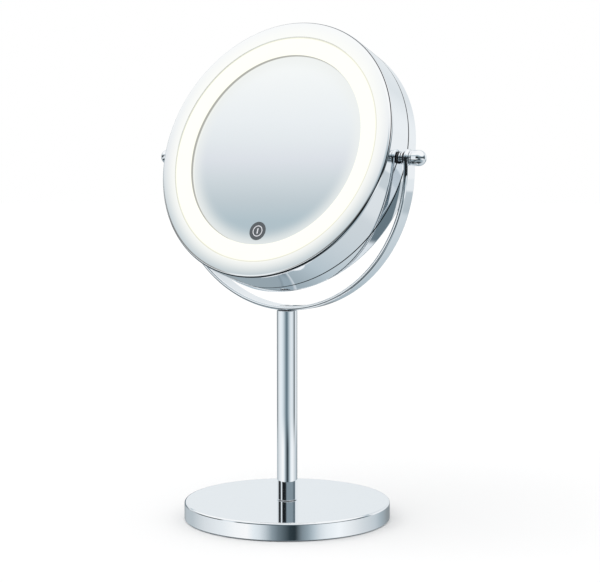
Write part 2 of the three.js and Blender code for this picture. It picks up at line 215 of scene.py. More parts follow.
def noise(tree, scale, detail=3.0, stretch=None):
    coordinates = add_node(tree, "ShaderNodeTexCoord")
    source = coordinates.outputs["Object"]
    if stretch:
        mapping = add_node(tree, "ShaderNodeMapping")
        mapping.inputs["Scale"].default_value = stretch
        tree.links.new(source, mapping.inputs["Vector"])
        source = mapping.outputs["Vector"]
    made = add_node(tree, "ShaderNodeTexNoise")
    tree.links.new(source, made.inputs["Vector"])
    made.inputs["Scale"].default_value = scale
    made.inputs["Detail"].default_value = detail
    return made.outputs["Fac"]


def add_bump(tree, shader, height, strength, distance):
    made = add_node(tree, "ShaderNodeBump")
    made.inputs["Strength"].default_value = strength
    made.inputs["Distance"].default_value = distance
    tree.links.new(height, made.inputs["Height"])
    tree.links.new(made.outputs["Normal"], shader.inputs["Normal"])


def add_painted_glow(tree, shader, amount, color):
    """Painted light: an emission of one colour mixed over a shader, as strong as amount."""
    glow = add_node(tree, "ShaderNodeEmission")
    glow.inputs["Color"].default_value = (*color, 1)
    blend = add_node(tree, "ShaderNodeMixShader")
    tree.links.new(amount, blend.inputs[0])
    tree.links.new(shader.outputs[0], blend.inputs[1])
    tree.links.new(glow.outputs[0], blend.inputs[2])
    output = next(n for n in tree.nodes if n.type == "OUTPUT_MATERIAL")
    tree.links.new(blend.outputs[0], output.inputs["Surface"])


def head_coordinates(tree):
    """Distance from the head's own axis, and depth along it, in millimetres."""
    coordinates = add_node(tree, "ShaderNodeTexCoord")
    local = add_node(tree, "ShaderNodeMapping", vector_type="TEXTURE")
    local.inputs["Location"].default_value = PIVOT
    local.inputs["Rotation"].default_value = (-HEAD_ANGLE, 0, 0)
    local.inputs["Scale"].default_value = (MM, MM, MM)
    tree.links.new(coordinates.outputs["Object"], local.inputs["Vector"])
    parts = add_node(tree, "ShaderNodeSeparateXYZ")
    tree.links.new(local.outputs["Vector"], parts.inputs[0])
    squares = [maths(tree, "POWER", parts.outputs[k], 2.0) for k in (0, 2)]
    return maths(tree, "SQRT", maths(tree, "ADD", *squares)), parts.outputs[1]


def metal(name, color, roughness, spread=0.01, smudge=0.02):
    """Polished metal: a faint drift in tone, and roughness from fine polishing marks."""
    material, tree, shader = new_material(name)
    shader.inputs["Metallic"].default_value = 1.0
    drift = noise(tree, 14.0, 2.0)
    shade = tuple(c * (1 - smudge) for c in color)
    tree.links.new(mix_color(tree, drift, color, shade), shader.inputs["Base Color"])
    marks = noise(tree, 180.0, 6.0, (1.0, 1.0, 6.0))
    tree.links.new(
        span(tree, marks, 0.3, 0.75, roughness, roughness + spread), shader.inputs["Roughness"]
    )
    return material


def plastic(name, color, roughness, grain=900.0, depth=0.00002, tint=0.94):
    """Moulded plastic: a fine spark-eroded grain and a slight drift in tone."""
    material, tree, shader = new_material(name)
    shade = tuple(c * tint for c in color)
    tree.links.new(mix_color(tree, noise(tree, 60.0), color, shade), shader.inputs["Base Color"])
    grains = noise(tree, grain, 4.0)
    tree.links.new(
        span(tree, grains, 0.3, 0.7, roughness - 0.05, roughness + 0.07), shader.inputs["Roughness"]
    )
    add_bump(tree, shader, grains, 0.35, depth)
    return material


CHROMIUM = (0.93, 0.95, 0.97)
CHROME = metal("chrome", CHROMIUM, 0.015, 0.012, 0.012)
BASE_CHROME = metal("base_chrome", CHROMIUM, 0.045, 0.02, 0.02)
PLATED = metal("plated_plastic", CHROMIUM, 0.02, 0.015, 0.012)
STEEL = metal("zinc_steel", (0.66, 0.68, 0.70), 0.28, 0.12, 0.12)
NICKEL = metal("nickel", (0.78, 0.76, 0.70), 0.2, 0.08, 0.08)
WHITE_ABS = plastic("white_abs", (0.88, 0.88, 0.86), 0.45)
NYLON = plastic("black_nylon", (0.025, 0.026, 0.03), 0.38)
RESIN = plastic("black_resin", (0.02, 0.02, 0.022), 0.5)
WIRE = plastic("red_pvc", (0.5, 0.03, 0.025), 0.4, 400.0)


def mirror_glass(name, rim, painted_glow_width):
    """Silvered glass. Painted light: a glow painted into the outer few millimetres of the glass stands in for the
    lamp's light spilling into it.
    """
    material, tree, shader = new_material(name)
    shader.inputs["Metallic"].default_value = 1.0
    haze = noise(tree, 30.0, 4.0)
    clean = (0.945, 0.965, 0.97)
    dusty = (0.93, 0.955, 0.96)
    tree.links.new(mix_color(tree, haze, clean, dusty), shader.inputs["Base Color"])
    tree.links.new(span(tree, haze, 0.3, 0.8, 0.002, 0.008), shader.inputs["Roughness"])
    if painted_glow_width:
        # Painted light: an emission glow that fades in towards the rim of the glass.
        radius, _ = head_coordinates(tree)
        amount = span(tree, radius, rim - painted_glow_width, rim)
        shaped = maths(tree, "MULTIPLY", maths(tree, "POWER", amount, 1.4), 0.8)
        add_painted_glow(tree, shader, shaped, (0.86, 0.885, 0.87))
    return material


# ---------- stand ----------
def make_base():
    low, high = own_box("base_shell", UPRIGHT)
    outer, skirt, top = high.x, low.y, high.y
    wall = 1.2
    inner = outer - wall
    edge = 1.5
    foot = 0.4
    bolt_hole = 3.4
    hole_edge = 0.4
    hole_clearance = 0.4
    corner = 0.6
    shell = turned("base_shell_chrome", [
        (inner, skirt + 0.1),
        *arc((outer - foot, skirt + foot), foot, -90, 0, 4),
        *arc((outer - edge, top - edge), edge, 0, 90, 10),
        (bolt_hole + hole_edge + hole_clearance, top),
        *arc((bolt_hole + hole_edge, top - hole_edge), hole_edge, 90, 180, 3),
        (bolt_hole, top - wall),
        *arc((inner - corner, top - wall - corner), corner, 90, 0, 4),
    ], UPRIGHT)
    finish_piece(shell, "stand", "chrome_steel", BASE_CHROME, "base_shell")

    pad_low, pad_high = own_box("base_pad", UPRIGHT)
    rim = pad_high.x
    hollow = 0.25
    edge = 0.4
    pad = turned("base_pad_foam", [
        (0, pad_low.y + hollow),
        (rim - 8, pad_low.y + hollow),
        (rim - 7, pad_low.y),
        *arc((rim - edge, pad_low.y + edge), edge, -90, 0, 3),
        (rim, pad_high.y),
        (0, pad_high.y),
    ], UPRIGHT)
    finish_piece(pad, "stand", "foam", FOAM, "base_pad")


def make_post():
    low, high = own_box("post_tube", UPRIGHT)
    outer = high.x
    wall = 1
    inner = outer - wall
    lip = 0.35
    tube = turned("post_tube_chrome", [
        (inner, low.y),
        *arc((outer - lip, low.y + lip), lip, -90, 0, 3),
        *arc((outer - lip, high.y - lip), lip, 0, 90, 3),
        (inner, high.y),
    ], UPRIGHT, FINE)
    finish_piece(tube, "stand", "chrome_steel", CHROME, "post_tube")


YOKE_T = 2.8  # thickness of the yoke's band
YOKE_OUTER_EDGE = 1.5  # rounding of its edges
YOKE_INNER_EDGE = 1.0


def edge_layers(steps=6):
    """The band's cross-section from its outer face in: (depth, how far the edge is set back)."""
    layers = []
    for i in range(steps + 1):
        a = math.pi / 2 * i / steps
        layers.append((YOKE_OUTER_EDGE * (1 - math.cos(a)), YOKE_OUTER_EDGE * (1 - math.sin(a))))
    for i in range(steps, -1, -1):
        a = math.pi / 2 * i / steps
        depth = YOKE_T - YOKE_INNER_EDGE * (1 - math.cos(a))
        layers.append((depth, YOKE_INNER_EDGE * (1 - math.sin(a))))
    return layers


def yoke_stations(outer, drop):
    """The band from one arm's tip round to the other: (point, normal, tip angle). The tip angle
    runs from 0 at a rounded tip to a quarter turn where the band has its full width."""
    tip_steps, ring_steps = 16, 192
    tip = [((outer, 0), (1, 0), math.pi / 2 * i / tip_steps) for i in range(tip_steps)]
    ring = [((outer, 0), (1, 0), math.pi / 2)]
    for i in range(ring_steps + 1):
        x, z = math.cos(math.pi * i / ring_steps), -math.sin(math.pi * i / ring_steps)
        ring.append(((outer * x, outer * z - drop), (x, z), math.pi / 2))
    ring.append(((-outer, 0), (-1, 0), math.pi / 2))
    other = [((-outer, 0), (-1, 0), a) for _, _, a in tip[::-1]]
    return tip + ring + other


def make_yoke():
    place = Matrix.Translation(PIVOT)
    low, high = own_box("yoke", place)
    outer, half_width = high.x, high.y
    drop = -low.z - outer
    layers = edge_layers()
    verts = []
    for (x, z), (nx, nz), a in yoke_stations(outer, drop):
        for side in (-1, 1):
            for depth, set_back in layers[::-side]:
                reach = half_width - set_back
                rise = reach * math.cos(a)
                verts.append((
                    (x - nx * depth) * MM,
                    side * reach * math.sin(a) * MM,
                    (z - nz * depth + rise) * MM,
                ))
    loop = 2 * len(layers)
    faces = []
    for start in range(0, len(verts) - loop, loop):
        for k in range(loop):
            n = (k + 1) % loop
            faces.append((start + k, start + n, start + loop + n, start + loop + k))
    mesh = bpy.data.meshes.new("yoke_band")
    mesh.from_pydata(verts, [], faces)
    work = bmesh.new()
    work.from_mesh(mesh)
    bmesh.ops.remove_doubles(work, verts=work.verts, dist=0.01 * MM)
    bmesh.ops.dissolve_degenerate(work, edges=work.edges, dist=0.01 * MM)
    bmesh.ops.recalc_face_normals(work, faces=work.faces)
    work.to_mesh(mesh)
    work.free()
    yoke = add_object("yoke_band", mesh, place)
    past = outer + 4
    bore_r = 3.4
    bore = turned("bore", [(0, -past), (bore_r, -past), (bore_r, past), (0, past)],
                  place @ Matrix.Rotation(-math.pi / 2, 4, "Z"), FINE)
    head_r = own_box("yoke_screw", UPRIGHT)[1].x
    hole_r = head_r - 1.15
    sink_r = head_r + 0.65
    sink = turned("sink", [
        (0, low.z - 3),
        (hole_r, low.z - 3),
        (hole_r, low.z + 1),
        (sink_r, low.z + YOKE_T),
        (sink_r, low.z + 8),
        (0, low.z + 8),
    ], place @ UPRIGHT, FINE)
    cut(yoke, bore, sink)
    smooth(yoke, 35)
    finish_piece(yoke, "stand", "chrome_steel", CHROME, "yoke")


def make_yoke_screw():
    low, high = own_box("yoke_screw", UPRIGHT)
    flush = high.y
    head_r = high.x
    shank = 2.0
    thread = []
    pitch = 0.7
    crest = 0.1
    lead_in = 0.6
    plain_neck = 1.8
    turns = int((flush - plain_neck - low.y - lead_in) / pitch)
    for i in range(turns):
        at = low.y + lead_in + i * pitch
        thread += [(shank, at), (shank, at + crest), (shank - pitch / 2, at + pitch / 2)]
    screw = turned("yoke_screw_steel", [
        (0, low.y),
        (shank - 0.5, low.y),
        *thread,
        (shank, flush - 1.7),
        (head_r, flush - 0.12),
        (head_r - 0.08, flush),
        (0, flush),
    ], UPRIGHT, FINE)
    key_r = 1.4
    floor = flush - 1.1
    socket = turned("socket", [
        (0, floor), (key_r, floor), (key_r, flush + 1), (0, flush + 1),
    ], UPRIGHT, 6)
    cut(screw, socket)
    smooth(screw, 25)
    finish_piece(screw, "stand", "zinc_steel", STEEL, "yoke_screw")


# ---------- lamp head ----------
SHELL = own_box("front_housing", HEAD_FRAME)
GLASS = own_box("front_mirror", HEAD_FRAME)
OPAL = own_box("light_diffuser", HEAD_FRAME)
HEAD_R = SHELL[1].x
FACE_DEPTH = SHELL[0].y
LIT_R = HEAD_R - 10.7  # outer radius of the visible light ring
AIR = 0.3
SEAM = (SHELL[1].y + own_box("rear_ring", HEAD_FRAME)[0].y) / 2
SEAM_SHADE = 0.6  # half width of the painted shade line in the seam
EDGE_SHADE = 0.45  # and of the painted dark line on the turn of the front edge, a painted reflection


def drum_chrome(name):
    """The drum's plating, with painted shade and light: a dark line painted in the seam between the two shells
    stands in for shade in the groove, a dark line painted on the turn of the front edge stands in for a dark
    reflection, and a painted glow on the flat front band stands in for the ring's light spilling onto it."""
    material = metal(name, CHROMIUM, 0.02, 0.015, 0.012)
    tree = material.node_tree
    shader = next(n for n in tree.nodes if n.type == "BSDF_PRINCIPLED")
    radius, depth = head_coordinates(tree)
    # Painted shade: the chrome turns near black along the seam between the two shells, standing in for shade in
    # the groove.
    from_seam = maths(tree, "ABSOLUTE", maths(tree, "SUBTRACT", depth, SEAM))
    clear_of_seam_shade = span(tree, from_seam, SEAM_SHADE - 0.12, SEAM_SHADE + 0.06)
    chrome = shader.inputs["Base Color"].links[0].from_socket
    # Painted reflection: a dark line painted on the turn of the front edge, where the chrome would show a dark
    # edge reflection.
    turn_radius = maths(tree, "ABSOLUTE", maths(tree, "SUBTRACT", radius, HEAD_R - 0.5))
    turn_depth = maths(tree, "ABSOLUTE", maths(tree, "SUBTRACT", depth, FACE_DEPTH + 0.6))
    from_edge = maths(tree, "ADD", turn_radius, turn_depth)
    off_edge = span(tree, from_edge, EDGE_SHADE - 0.2, EDGE_SHADE + 0.2)
    bright = maths(tree, "MULTIPLY", clear_of_seam_shade, off_edge)
    # The painted seam shade and the painted edge reflection both mix the chrome to near black.
    tree.links.new(mix_color(tree, bright, (0.02, 0.022, 0.025), chrome),
                   shader.inputs["Base Color"])
    # Painted light: an emission glow on the flat front band, strongest next to the light ring, stands in for the
    # ring's light spilling onto it.
    on_face = span(tree, depth, FACE_DEPTH + 0.25, FACE_DEPTH + 0.1)
    near = span(tree, radius, HEAD_R + 4.0, LIT_R - 2.5, 0.0, 0.97)
    amount = maths(tree, "MULTIPLY", on_face, near)
    add_painted_glow(tree, shader, amount, (0.985, 0.99, 0.955))
    return material


def opal_acrylic():
    """Lit opal acrylic, a little dimmer and yellower where it meets the chrome; the darker colour in the step is
    painted shade.
    """
    material, tree, shader = new_material("opal_acrylic")
    shader.inputs["Base Color"].default_value = (0.08, 0.08, 0.075, 1)
    shader.inputs["Specular IOR Level"].default_value = 0.1
    shader.inputs["Emission Strength"].default_value = 1.0
    radius, depth = head_coordinates(tree)
    lit = (1.0, 1.0, 0.885)
    glass_face = GLASS[0].y
    # Painted shade: the deepest part of the step's inner wall, next to the glass, takes a darker emission colour.
    inner = span(tree, depth, glass_face - 0.9, glass_face - 1.5)
    outer = span(tree, radius, LIT_R - 0.4, LIT_R - 1.3)
    color = mix_color(tree, inner, (0.36, 0.36, 0.33), lit)
    color = mix_color(tree, outer, (0.74, 0.735, 0.63), color)
    cloud = span(tree, noise(tree, 40.0, 2.0), 0.2, 0.8, 0.985, 1.0)
    tree.links.new(
        mix_color(tree, 1.0, color, cloud, "MULTIPLY"), shader.inputs["Emission Color"]
    )
    grain = noise(tree, 700.0)
    tree.links.new(span(tree, grain, 0.3, 0.7, 0.3, 0.42), shader.inputs["Roughness"])
    return material


def make_drum():
    inner = HEAD_R - 2
    back = SHELL[1].y
    edge = 2.1
    bevel = 0.25
    back_edge = 0.3
    lip = FACE_DEPTH + 2
    shell = turned("drum_shell", [
        (LIT_R, FACE_DEPTH + bevel),
        (LIT_R + bevel, FACE_DEPTH),
        *arc((HEAD_R - edge, FACE_DEPTH + edge), edge, -90, 0, 12),
        *arc((HEAD_R - back_edge, back - back_edge), back_edge, 0, 90, 3),
        (inner, back),
        (inner, lip),
        (LIT_R, lip),
    ], HEAD_FRAME)
    finish_piece(
        shell, "head", "chrome_plated_plastic", drum_chrome("drum_chrome"), "front_housing"
    )


def make_light():
    low, high = OPAL
    step = GLASS[1].x + AIR
    outer = LIT_R - AIR
    crown = 0.25
    inner_edge = 0.5
    edge_start = low.y + 0.9
    outer_edge = 0.3
    flange = FACE_DEPTH + 2.3
    flange_back = flange + 1.4
    back_r = 66.9
    face = [
        (step + (outer - step) * k / 8, low.y + crown * (2 * k / 8 - 1) ** 2) for k in range(1, 8)
    ]
    ring = turned("light_ring", [
        (step, edge_start),
        *arc((step + inner_edge, edge_start), inner_edge, 180, 250, 4),
        *face,
        (outer - outer_edge, low.y + crown),
        (outer, low.y + crown + outer_edge),
        (outer, flange),
        (high.x, flange),
        (high.x, flange_back),
        (back_r, flange_back),
        (back_r, high.y),
        (step, high.y),
    ], HEAD_FRAME)
    finish_piece(ring, "head", "opal_diffuser", opal_acrylic(), "light_diffuser")


TOUCH_DROP = 55.6  # from the head's centre to the touch mark's
TOUCH_R = 6.2
INK = 0.03  # thickness of a printed layer


def flat_shape(name, outlines, depth, thickness):
    """A thin plate in the head's face plane. Outlines are (x, z) loops; later loops are holes."""
    work = bmesh.new()
    edges = []
    for outline in outlines:
        corners = [work.verts.new((x * MM, depth * MM, z * MM)) for x, z in outline]
        edges += [work.edges.new((corners[i - 1], corners[i])) for i in range(len(corners))]
    filled = bmesh.ops.triangle_fill(work, edges=edges, use_beauty=True)
    faces = [f for f in filled["geom"] if isinstance(f, bmesh.types.BMFace)]
    raised = bmesh.ops.extrude_face_region(work, geom=faces)
    moved = [v for v in raised["geom"] if isinstance(v, bmesh.types.BMVert)]
    bmesh.ops.translate(work, verts=moved, vec=(0, -thickness * MM, 0))
    bmesh.ops.recalc_face_normals(work, faces=work.faces)
    mesh = bpy.data.meshes.new(name)
    work.to_mesh(mesh)
    work.free()
    obj = add_object(name, mesh, HEAD_FRAME)
    smooth(obj)
    return obj


def circle(centre_z, radius, steps=96):
    return [
        (radius * math.cos(TURN * i / steps), centre_z + radius * math.sin(TURN * i / steps))
        for i in range(steps)
    ]


def ink(name, color, roughness):
    """Screen-printed ink with a faint mottle."""
    material, tree, shader = new_material(name)
    mottle = noise(tree, 1500.0, 4.0)
    shade = tuple(c * 1.25 for c in color)
    tree.links.new(mix_color(tree, mottle, color, shade), shader.inputs["Base Color"])
    tree.links.new(
        span(tree, mottle, 0.3, 0.7, roughness, roughness + 0.1), shader.inputs["Roughness"]
    )
    shader.inputs["Specular IOR Level"].default_value = 0.2
    return material


def make_mirror():
    low, high = GLASS
    rim = high.x
    bevel_in = 0.5
    glass = turned("front_glass", [
        (0, low.y),
        (rim - bevel_in, low.y),
        (rim, low.y + bevel_in),
        (rim, high.y),
        (0, high.y),
    ], HEAD_FRAME)
    material = mirror_glass("silvered_glass", rim, 13.0)
    finish_piece(glass, "head", "mirror_glass", material, "front_mirror")

    disc = flat_shape("touch_mark_disc", [circle(-TOUCH_DROP, TOUCH_R)], low.y, 0.04)
    finish_piece(disc, "head", "black_resin", ink("touch_ink", (0.085, 0.095, 0.105), 0.5))
    ring_out, ring_in = 0.6 * TOUCH_R, 0.5 * TOUCH_R
    ring = flat_shape(
        "touch_mark_ring",
        [circle(-TOUCH_DROP, ring_out), circle(-TOUCH_DROP, ring_in)],
        low.y - INK, INK,
    )
    white = ink("white_ink", (0.62, 0.63, 0.66), 0.5)
    finish_piece(ring, "head", "white_abs", white)
    half, reach = 0.075 * TOUCH_R, 0.31 * TOUCH_R
    round_end = [(half * math.cos(a), half * math.sin(a)) for a in
                 (math.pi * i / 12 for i in range(13))]
    top = [(x, -TOUCH_DROP + reach - half + z) for x, z in round_end]
    bottom = [(-x, -TOUCH_DROP - reach + half - z) for x, z in round_end]
    bar = flat_shape("touch_mark_bar", [top + bottom], low.y - INK, INK)
    finish_piece(bar, "head", "white_abs", white)


# ---------- tilt axis ----------
def make_pivot(side, sign):
    place = sideways(sign)
    knob_low, knob_high = own_box(f"pivot_knob_{side}", place)
    r = knob_high.x
    start, tip = knob_low.y, knob_high.y
    dome = 4.6
    bore = 2.3
    bottom = tip - 3  # of the blind hole
    edge = 0.4
    knob = turned(f"pivot_knob_{side}_chrome", [
        (bore, start),
        (r - 1.5 * edge, start),
        *arc((r - edge, start + edge), edge, -90, 0, 4)[1:],
        (r, tip - dome),
        *[(r * math.cos(a), tip - dome + dome * math.sin(a)) for a in
          (math.pi / 2 * i / 16 for i in range(1, 16))],
        (0, tip),
        (0, bottom),
        (bore, bottom),
    ], place, FINE)
    finish_piece(knob, "head", "chrome_steel", CHROME, f"pivot_knob_{side}")

    collar_low, collar_high = own_box(f"pivot_collar_{side}", place)
    c = collar_high.x
    lip = 0.35
    collar = turned(f"pivot_collar_{side}_chrome", [
        (bore, collar_low.y),
        *arc((c - lip, collar_low.y + lip), lip, -90, 0, 4),
        *arc((c - lip, collar_high.y - lip), lip, 0, 90, 4),
        (bore, collar_high.y),
    ], place, FINE)
    finish_piece(collar, "head", "chrome_steel", CHROME, f"pivot_collar_{side}")

    spacer_low, spacer_high = own_box(f"pivot_spacer_{side}", place)
    s = spacer_high.x
    split = spacer_low.y + 1.1
    bevel = 0.2
    shoulder = 0.7
    cup = turned(f"pivot_cup_{side}_chrome", [
        (bore, spacer_low.y),
        (s - bevel, spacer_low.y),
        (s, spacer_low.y + bevel),
        *arc((s - shoulder, split - shoulder), shoulder, 0, 80, 8),
        (bore, split),
    ], place, FINE)
    finish_piece(cup, "head", "chrome_steel", CHROME, f"pivot_spacer_{side}")
    gap = 0.05
    edge = 0.2
    ring = turned(f"pivot_spacer_{side}_nylon", [
        (bore, split + gap),
        *arc((s - 0.1 - edge, split + gap + edge), edge, -90, 0, 3),
        *arc((s - 0.1 - edge, spacer_high.y - edge), edge, 0, 90, 3),
        (bore, spacer_high.y),
    ], place, FINE)
    finish_piece(ring, "head", "nylon", NYLON)


# ---------- rear cover ----------
MAGNIFIER_CURVE = 420  # radius of the concave glass
RING = own_box("rear_ring", HEAD_FRAME)
BOWL = own_box("magnifying_mirror", HEAD_FRAME)


def bowl_depth(radius):
    rim = BOWL[1].x
    sag = [MAGNIFIER_CURVE - math.sqrt(MAGNIFIER_CURVE ** 2 - r ** 2) for r in (rim, radius)]
    return BOWL[1].y - sag[0] + sag[1]


def make_rear_cover():
    low, high = RING
    wall_in = high.x - 1.8
    lip_r = BOWL[1].x - 0.8
    lip_front = BOWL[1].y + AIR
    edge = 2.1
    front_edge = 0.3
    lip_edge = 0.4
    ring = turned("rear_ring_chrome", [
        (wall_in, low.y),
        *arc((high.x - front_edge, low.y + front_edge), front_edge, -90, 0, 3),
        *arc((high.x - edge, high.y - edge), edge, 0, 88, 12),
        (lip_r + 5, high.y - 0.25),
        (lip_r + 4, high.y - 0.45),
        (lip_r + 0.5, high.y - 0.6),
        *arc((lip_r + lip_edge, high.y - 0.6 - lip_edge), lip_edge, 90, 180, 4),
        (lip_r, lip_front),
        (wall_in, lip_front),
    ], HEAD_FRAME)
    finish_piece(
        ring, "rear_cover", "chrome_plated_plastic", drum_chrome("rear_chrome"), "rear_ring"
    )

    rim = BOWL[1].x
    thickness = 2
    samples = [rim * i / 24 for i in range(25)]
    front = [(r, bowl_depth(r) - thickness) for r in samples]
    back = [(r, bowl_depth(r)) for r in samples[::-1]]
    glass = turned("magnifying_glass", front + back, HEAD_FRAME)
    finish_piece(
        glass, "rear_cover", "mirror_glass", mirror_glass("magnifier_silver", rim, 0),
        "magnifying_mirror",
    )


def foam_material():
    material, tree, shader = new_material("eva_foam")
    cells = add_node(tree, "ShaderNodeTexVoronoi", feature="F1")
    coordinates = add_node(tree, "ShaderNodeTexCoord")
    tree.links.new(coordinates.outputs["Object"], cells.inputs["Vector"])
    cells.inputs["Scale"].default_value = 1400.0
    tone = mix_color(tree, cells.outputs["Distance"], (0.02, 0.02, 0.022), (0.06, 0.06, 0.065))
    tree.links.new(tone, shader.inputs["Base Color"])
    shader.inputs["Roughness"].default_value = 0.95
    add_bump(tree, shader, cells.outputs["Distance"], 0.5, 0.0003)
    return material


FOAM = foam_material()


# ---------- studio ----------
VIEW_AZIMUTH = math.radians(34.4)
VIEW_DISTANCE = 1.0444
VIEW_HEIGHT = 0.2466
VIEW_PITCH = math.radians(5.18)
VIEW_YAW = math.radians(-0.47)
LENS = 95.1


def make_camera():
    data = bpy.data.cameras.new("camera")
    data.sensor_width = 36
    data.lens = LENS
    camera = bpy.data.objects.new("camera", data)
    camera.location = (
        VIEW_DISTANCE * math.sin(VIEW_AZIMUTH),
        -VIEW_DISTANCE * math.cos(VIEW_AZIMUTH),
        VIEW_HEIGHT,
    )
    camera.rotation_euler = (math.pi / 2 - VIEW_PITCH, 0, VIEW_AZIMUTH + VIEW_YAW)
    bpy.context.scene.collection.objects.link(camera)
    bpy.context.scene.camera = camera


def grey(level, cool=0.0):
    """A neutral tone, bluer as cool rises."""
    return (level * (1 - cool), level, level * (1 + 0.6 * cool))


WHITE = (1.0, 1.0, 1.0)
# What the chrome reflects: rings round the studio, from the ground up. Each has the heights, in
# degrees, at which it begins and is full, then its stops (degrees to the viewer's right, colour).
GROUND_RING = [
    (-180, grey(0.38, 0.18)), (-112, grey(0.40, 0.16)), (-98, grey(0.05, 0.2)),
    (40, grey(0.05, 0.2)), (75, grey(0.42, 0.15)), (105, grey(0.7, 0.06)),
    (122, grey(0.66, 0.09)), (154, grey(0.57, 0.14)), (180, grey(0.40, 0.18)),
]
RINGS = [
    (-54, -46, [
        (-180, grey(0.38, 0.18)), (-112, grey(0.40, 0.16)), (-76, grey(0.34, 0.18)),
        (-40, grey(0.42, 0.18)), (60, grey(0.42, 0.18)), (105, grey(0.7, 0.06)),
        (122, grey(0.66, 0.09)), (154, grey(0.57, 0.14)), (180, grey(0.40, 0.18)),
    ]),
    (-38, -31, [
        (-180, grey(0.38, 0.18)), (-128, grey(0.40, 0.15)), (-104, grey(0.04, 0.2)),
        (14, grey(0.04, 0.2)), (35, grey(0.35, 0.2)), (70, grey(0.6, 0.1)),
        (105, grey(0.8, 0.04)), (122, grey(0.69, 0.09)), (154, grey(0.57, 0.14)),
        (180, grey(0.40, 0.18)),
    ]),
    (-20, -17.5, [
        (-180, grey(0.3, 0.1)), (-152, grey(0.54, 0.1)), (-131, grey(0.56, 0.1)),
        (-105, grey(0.75, 0.05)), (-76, grey(0.88, 0.04)), (-60, grey(0.97, 0.01)),
        (-45, WHITE), (-37, grey(0.88, 0.06)), (-31, grey(0.8, 0.07)),
        (-24, grey(0.6, 0.1)), (-17, grey(0.34, 0.18)), (-10, grey(0.2, 0.22)),
        (-4, grey(0.127, 0.25)), (3, grey(0.045, 0.35)), (9, grey(0.034, 0.35)),
        (16, grey(0.26, 0.2)), (23, grey(0.39, 0.18)), (30, grey(0.59, 0.13)),
        (37, grey(0.77, 0.07)), (44, grey(0.88, 0.05)), (59, grey(0.98, 0.03)),
        (75, grey(0.86, 0.03)), (93, grey(0.72, 0.06)), (115, grey(0.61, 0.1)),
        (129, grey(0.45, 0.15)), (150, grey(0.3, 0.1)), (180, grey(0.3, 0.1)),
    ]),
    (-11, -9.5, [
        (-180, grey(0.2, 0.1)), (-135, grey(0.3, 0.1)), (-115, grey(0.7, 0.06)),
        (-89, grey(0.9, 0.05)), (-60, grey(0.86, 0.08)), (-47, grey(0.75, 0.09)),
        (-35, grey(0.59, 0.12)), (-23, grey(0.4, 0.2)), (-11, grey(0.2, 0.3)),
        (0, grey(0.185, 0.3)), (11, grey(0.37, 0.2)), (23, grey(0.59, 0.14)),
        (35, grey(0.78, 0.08)), (60, grey(0.85, 0.05)), (74, grey(0.6, 0.1)),
        (85, grey(0.17, 0.12)), (93, grey(0.2, 0.12)), (100, grey(0.5, 0.1)),
        (106, grey(0.85, 0.04)), (125, grey(0.85, 0.04)), (140, grey(0.5, 0.1)),
        (180, grey(0.25, 0.1)),
    ]),
    (-5.6, -4.6, [
        (-180, grey(0.25, 0.2)), (-176, grey(0.2, 0.25)), (-146, grey(0.2, 0.25)),
        (-134, grey(0.8, 0.05)), (-109, grey(0.03, 0.1)), (-78, grey(0.03, 0.1)),
        (-74, grey(0.85, 0.05)), (-61, grey(0.85, 0.05)), (-57, grey(0.02, 0.2)),
        (8, grey(0.012, 0.2)), (86, grey(0.05, 0.2)), (101, grey(0.3, 0.2)),
        (110, grey(0.92, 0.02)), (145, grey(0.85, 0.04)), (172, grey(0.8, 0.05)),
        (180, grey(0.2, 0.1)),
    ]),
    (7, 9, [
        (-180, grey(0.86, 0.04)), (-125, grey(0.8, 0.04)), (-109, grey(0.03, 0.1)),
        (-78, grey(0.03, 0.1)), (-74, grey(0.85, 0.05)), (-61, grey(0.85, 0.05)),
        (-57, grey(0.02, 0.2)), (-18, grey(0.015, 0.2)), (-3, grey(0.3, 0.2)),
        (60, grey(0.3, 0.2)), (88, grey(0.13, 0.25)), (101, grey(0.3, 0.2)),
        (110, grey(0.92, 0.02)), (130, grey(0.9, 0.03)), (145, grey(0.8, 0.05)),
        (180, grey(0.86, 0.04)),
    ]),
    (20, 26, [
        (-180, grey(0.9, 0.03)), (-120, grey(0.8, 0.05)), (-95, grey(0.5, 0.17)),
        (60, grey(0.5, 0.17)), (115, grey(0.84, 0.04)), (145, grey(0.76, 0.05)),
        (180, grey(0.9, 0.03)),
    ]),
]
# The large soft light overhead: its lower edge fades from SKY_LOW to SKY_HIGH degrees. The edge
# leans with azimuth, so that it runs level across the tilted glass.
SKY_LOW = 27.0
SKY_HIGH = 37.0
SKY_LEAN = 12.0
LEAN_TURN = math.radians(77)
SKY_STOPS = [
    (27.0, (0.40, 0.49, 0.54)), (29.5, (0.47, 0.56, 0.61)), (30.3, (0.56, 0.625, 0.665)),
    (31.1, (0.66, 0.71, 0.745)), (31.9, (0.765, 0.785, 0.83)), (32.7, (0.83, 0.855, 0.88)),
    (33.5, (0.88, 0.9, 0.92)), (35.5, (0.97, 0.975, 0.97)), (37.0, WHITE),
]
PAPER_WHITE = 1.0  # the plain white seen behind the object
ROOM_WHITE = 0.97  # and the even light it gives


def color_ramp(tree, value, low, high, stops):
    """Colour along a value that runs from 0 to 1 where the stops run from low to high."""
    ramp = add_node(tree, "ShaderNodeValToRGB")
    tree.links.new(value, ramp.inputs[0])
    elements = ramp.color_ramp.elements
    for _ in range(len(stops) - 2):
        elements.new(0.5)
    for element, (degrees, color) in zip(elements, stops):
        element.position = (degrees - low) / (high - low)
        element.color = (*color, 1)
    return ramp.outputs[0]


